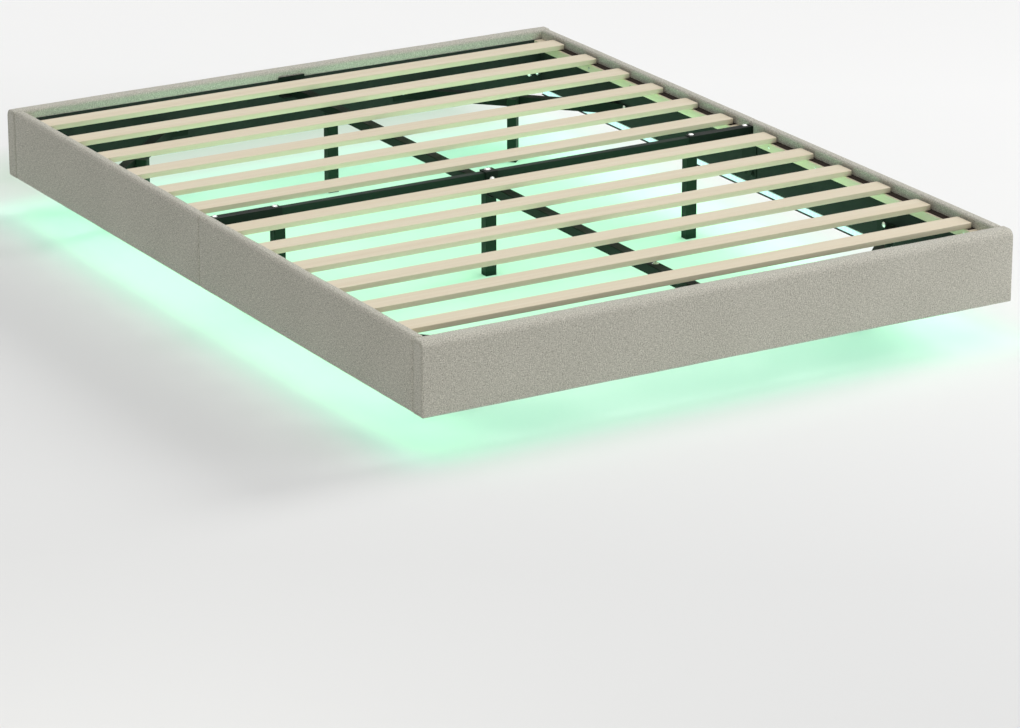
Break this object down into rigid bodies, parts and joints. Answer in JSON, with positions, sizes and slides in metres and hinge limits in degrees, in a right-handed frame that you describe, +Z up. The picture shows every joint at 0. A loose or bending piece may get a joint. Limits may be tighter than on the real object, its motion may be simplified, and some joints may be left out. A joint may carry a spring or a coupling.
{
  "type": "floating platform bed",
  "caption": "Low platform bed with padded linen rails, wooden slats on battens, a steel underframe on inset legs, and light strips under the side rails.",
  "frame": {"origin": "middle of the bed's footprint, on the floor that the legs stand on", "axes": "+X across the bed's width, to the right when seen from the foot end; +Y along its length, from the foot to the head; +Z up"},
  "size_m": [1.58, 2.123, 0.275],
  "materials": {
    "linen": "woven linen-look upholstery, matt",
    "lining": "thin black backing cloth, matt",
    "wood": "pale planed wood, thin satin coat",
    "felt": "dark brown felt",
    "steel": "black powder coat, fine texture, satin",
    "bolt": "bright zinc-plated domed heads",
    "light": "milky diffuser of a lit strip"
  },
  "bodies": {
    "root": {"centre_head_leg": "steel", "centre_middle_leg": "steel", "centre_saddle": "steel", "cross_beam": "steel", "foot_centre_beam": "steel", "foot_centre_hook": "steel", "foot_lining": "lining", "foot_panel": "linen", "head_centre_beam": "steel", "head_centre_hook": "steel", "head_lining": "lining", "head_panel": "linen", "left_batten_foot_half": "wood", "left_batten_head_half": "wood", "left_beam_sleeve": "steel", "left_felt_foot_half": "felt", "left_felt_head_half": "felt", "left_foot_brace": "steel", "left_foot_leg": "steel", "left_head_brace": "steel", "left_head_leg": "steel", "left_inner_bolt": "bolt", "left_joint_plate": "steel", "left_light_strip": "light", "left_lining_foot_half": "lining", "left_lining_head_half": "lining", "left_middle_leg": "steel", "left_outer_bolt": "bolt", "left_rail_foot_half": "linen", "left_rail_head_half": "linen", "right_batten_foot_half": "wood", "right_batten_head_half": "wood", "right_beam_sleeve": "steel", "right_felt_foot_half": "felt", "right_felt_head_half": "felt", "right_foot_brace": "steel", "right_foot_leg": "steel", "right_head_brace": "steel", "right_head_leg": "steel", "right_inner_bolt": "bolt", "right_joint_plate": "steel", "right_light_strip": "light", "right_lining_foot_half": "lining", "right_lining_head_half": "lining", "right_middle_leg": "steel", "right_outer_bolt": "bolt", "right_rail_foot_half": "linen", "right_rail_head_half": "linen", "slat_foot_1": "wood", "slat_foot_2": "wood", "slat_foot_3": "wood", "slat_foot_4": "wood", "slat_foot_5": "wood", "slat_foot_6": "wood", "slat_head_1": "wood", "slat_head_2": "wood", "slat_head_3": "wood", "slat_head_4": "wood", "slat_head_5": "wood", "slat_head_6": "wood"}
  },
  "joints": []
}
